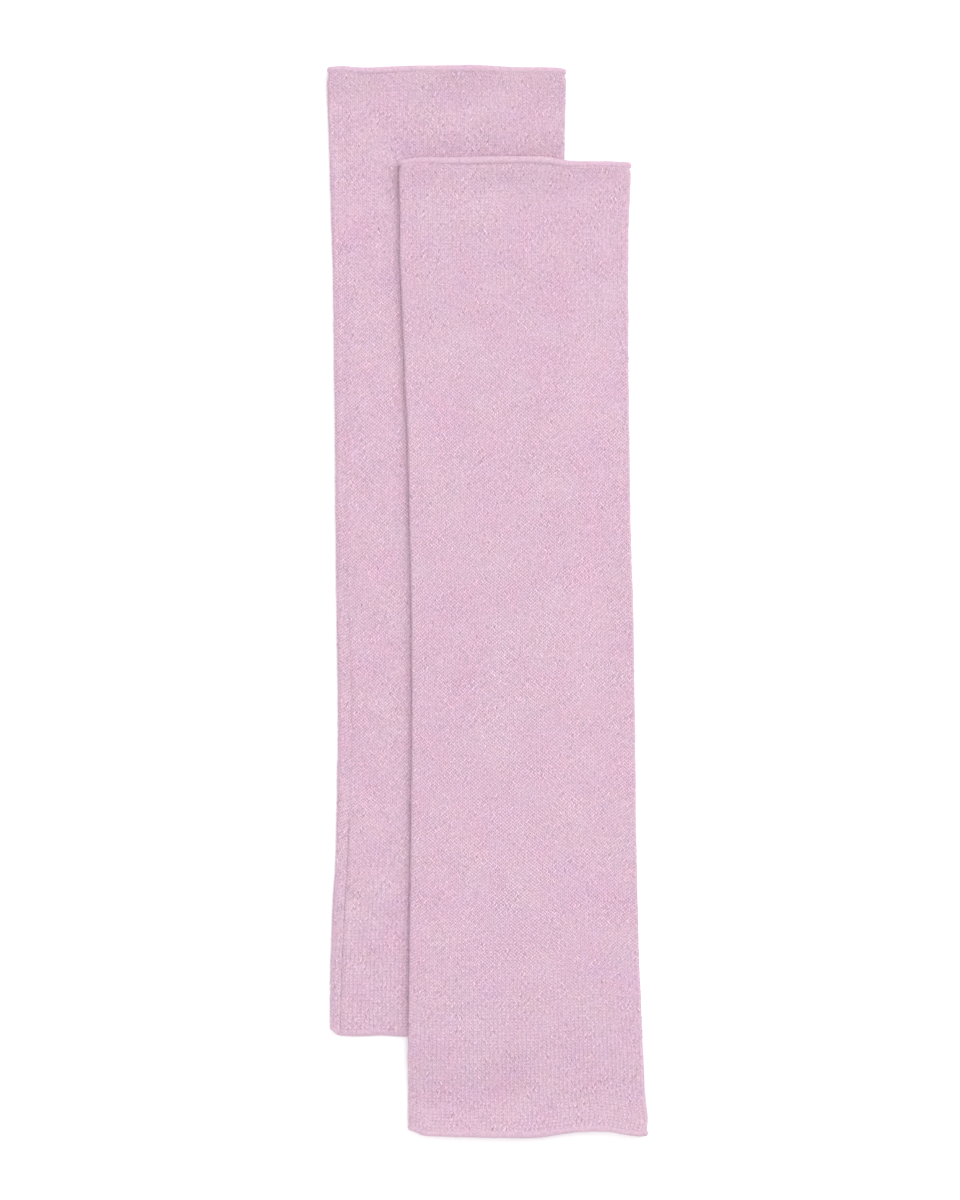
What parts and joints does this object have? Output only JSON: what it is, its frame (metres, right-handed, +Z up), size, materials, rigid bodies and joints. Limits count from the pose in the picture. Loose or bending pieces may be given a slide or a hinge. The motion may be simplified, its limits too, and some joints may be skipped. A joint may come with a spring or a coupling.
{
  "type": "pair of long fingerless gloves",
  "caption": "Long fingerless gloves in fine heather jersey, a pair laid flat and overlapping: soft tubes that warm the hand, wrist and forearm and leave the fingers free.",
  "frame": {"origin": "on the surface the gloves lie on, below the middle of the laid-out pair", "axes": "+Z up from the surface, +Y along the gloves towards their hand ends, +X across them towards the over glove's free side"},
  "size_m": [0.1324, 0.44, 0.0098],
  "materials": {
    "under_glove_upper_layer": "matt brushed jersey",
    "under_glove_lower_layer": "matt brushed jersey",
    "under_glove_seam": "matt linked seam",
    "over_glove_upper_layer": "matt brushed jersey",
    "over_glove_lower_layer": "matt brushed jersey",
    "over_glove_seam": "matt linked seam"
  },
  "bodies": {
    "root": {"under_glove_upper_layer": "under_glove_upper_layer", "under_glove_lower_layer": "under_glove_lower_layer", "under_glove_seam": "under_glove_seam", "over_glove_upper_layer": "over_glove_upper_layer", "over_glove_lower_layer": "over_glove_lower_layer", "over_glove_seam": "over_glove_seam"}
  },
  "joints": []
}
